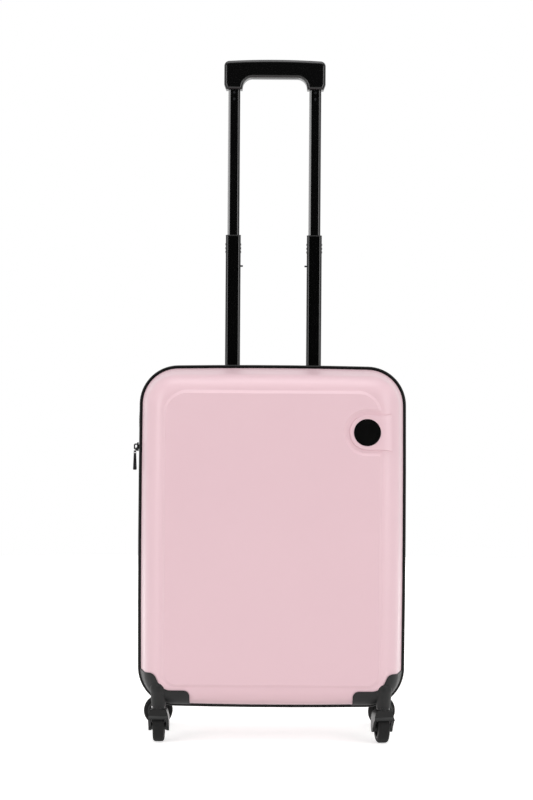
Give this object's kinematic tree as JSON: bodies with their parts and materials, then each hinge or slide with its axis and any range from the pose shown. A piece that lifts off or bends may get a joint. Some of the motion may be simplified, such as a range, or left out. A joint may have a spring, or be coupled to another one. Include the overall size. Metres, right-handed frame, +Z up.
{
  "type": "hard shell suitcase on wheels",
  "caption": "Upright pink hard-shell cabin suitcase with zip rim, two-stage trolley handle, corner guards and swivel casters; opens like a book on a cloth hinge.",
  "frame": {"origin": "on the floor under the middle of the case", "axes": "+Z up along the handle, -Y towards the front panel, +X towards the hinge side"},
  "size_m": [0.4072, 0.2004, 1.018],
  "materials": {
    "pink_abs": "satin pale pink moulded ABS",
    "badge_black": "smooth black",
    "rim_piping": "black vinyl binding",
    "zip_tape_fabric": "black woven polyester tape",
    "zip_coil_nylon": "black nylon coil",
    "lining_fabric": "dark grey woven polyester",
    "strap_webbing": "black woven webbing",
    "guard_plastic": "dark grey fine-textured polypropylene",
    "inner_nylon": "black nylon",
    "grip_plastic": "satin black plastic",
    "black_aluminium": "glossy black anodised",
    "dark_steel": "blackened steel",
    "tyre_rubber": "dark grey rubber",
    "zip_metal": "black painted zinc"
  },
  "bodies": {
    "rear_case": {"rear_shell": "pink_abs", "rear_piping": "rim_piping", "rear_zip_tape": "zip_tape_fabric", "rear_zip_coil": "zip_coil_nylon", "rear_piping_sleeve": "rim_piping", "rear_hinge_tape": "zip_tape_fabric", "handle_bezel": "guard_plastic", "outer_tube_left": "black_aluminium", "outer_tube_right": "black_aluminium", "tube_foot_bracket": "inner_nylon", "rear_lining": "lining_fabric", "packing_straps": "strap_webbing", "strap_buckle": "inner_nylon", "rear_guard_left": "guard_plastic", "rear_guard_right": "guard_plastic", "rear_swivel_pins": "dark_steel"},
    "front_case": {"front_shell": "pink_abs", "front_badge": "badge_black", "front_piping": "rim_piping", "front_zip_tape": "zip_tape_fabric", "front_zip_coil": "zip_coil_nylon", "front_hinge_tape": "zip_tape_fabric", "front_lining": "lining_fabric", "front_guard_left": "guard_plastic", "front_guard_right": "guard_plastic", "front_swivel_pins": "dark_steel"},
    "lower_stage": {"lower_tube_left": "black_aluminium", "lower_tube_right": "black_aluminium", "collar_left": "inner_nylon", "collar_right": "inner_nylon", "stop_pins": "dark_steel", "lower_end_bushes": "inner_nylon"},
    "upper_stage": {"upper_tube_left": "black_aluminium", "upper_tube_right": "black_aluminium", "grip_front": "grip_plastic", "grip_back": "grip_plastic", "tube_rivets": "dark_steel", "upper_end_bushes": "inner_nylon"},
    "trigger": {"release_trigger": "grip_plastic", "push_rods": "black_aluminium"},
    "slider": {"zip_slider": "zip_metal"},
    "pull": {"zip_pull": "zip_metal"},
    "caster_front_left": {"front_left_fork": "guard_plastic", "front_left_axle": "dark_steel"},
    "wheel_front_left": {"front_left_hub": "inner_nylon", "front_left_tyre": "tyre_rubber"},
    "caster_front_right": {"front_right_fork": "guard_plastic", "front_right_axle": "dark_steel"},
    "wheel_front_right": {"front_right_hub": "inner_nylon", "front_right_tyre": "tyre_rubber"},
    "caster_rear_left": {"rear_left_fork": "guard_plastic", "rear_left_axle": "dark_steel"},
    "wheel_rear_left": {"rear_left_hub": "inner_nylon", "rear_left_tyre": "tyre_rubber"},
    "caster_rear_right": {"rear_right_fork": "guard_plastic", "rear_right_axle": "dark_steel"},
    "wheel_rear_right": {"rear_right_hub": "inner_nylon", "rear_right_tyre": "tyre_rubber"}
  },
  "joints": [
    {"name": "case_opening", "type": "hinge", "parent": "rear_case", "child": "front_case", "pos_m": [0.1993, 0, 0.2955], "axis": [0, 0, 1], "range_deg": [0, 180]},
    {"name": "lower_stage_slide", "type": "slide", "parent": "rear_case", "child": "lower_stage", "axis": [0, 0, 1], "range_m": [-0.25, 0]},
    {"name": "upper_stage_slide", "type": "slide", "parent": "lower_stage", "child": "upper_stage", "axis": [0, 0, 1], "range_m": [-0.221, 0]},
    {"name": "trigger_press", "type": "slide", "parent": "upper_stage", "child": "trigger", "axis": [0, 0, 1], "range_m": [0, 0.004], "stiffness_N_per_m": 800, "springref_m": -0.003},
    {"name": "slider_run", "type": "slide", "parent": "rear_case", "child": "slider", "axis": [0, 0, 1], "range_m": [-0.3, 0.055]},
    {"name": "pull_swing", "type": "hinge", "parent": "slider", "child": "pull", "pos_m": [-0.2049, 0, 0.4233], "axis": [1, 0, 0], "range_deg": [-90, 90]},
    {"name": "swivel_front_left", "type": "hinge", "parent": "front_case", "child": "caster_front_left", "pos_m": [-0.163, -0.079, 0.05], "axis": [0, 0, 1], "continuous": true},
    {"name": "wheel_spin_front_left", "type": "hinge", "parent": "caster_front_left", "child": "wheel_front_left", "pos_m": [-0.163, -0.07, 0.022], "axis": [1, 0, 0], "continuous": true},
    {"name": "swivel_front_right", "type": "hinge", "parent": "front_case", "child": "caster_front_right", "pos_m": [0.163, -0.079, 0.05], "axis": [0, 0, 1], "continuous": true},
    {"name": "wheel_spin_front_right", "type": "hinge", "parent": "caster_front_right", "child": "wheel_front_right", "pos_m": [0.16175, -0.07009, 0.022], "axis": [0.9903, 0.1392, 0], "continuous": true},
    {"name": "swivel_rear_left", "type": "hinge", "parent": "rear_case", "child": "caster_rear_left", "pos_m": [-0.163, 0.072, 0.05], "axis": [0, 0, 1], "continuous": true},
    {"name": "wheel_spin_rear_left", "type": "hinge", "parent": "caster_rear_left", "child": "wheel_rear_left", "pos_m": [-0.172, 0.072, 0.022], "axis": [0, 1, 0], "continuous": true},
    {"name": "swivel_rear_right", "type": "hinge", "parent": "rear_case", "child": "caster_rear_right", "pos_m": [0.163, 0.072, 0.05], "axis": [0, 0, 1], "continuous": true},
    {"name": "wheel_spin_rear_right", "type": "hinge", "parent": "caster_rear_right", "child": "wheel_rear_right", "pos_m": [0.17037, 0.07716, 0.022], "axis": [0.5736, -0.8192, 0], "continuous": true}
  ]
}
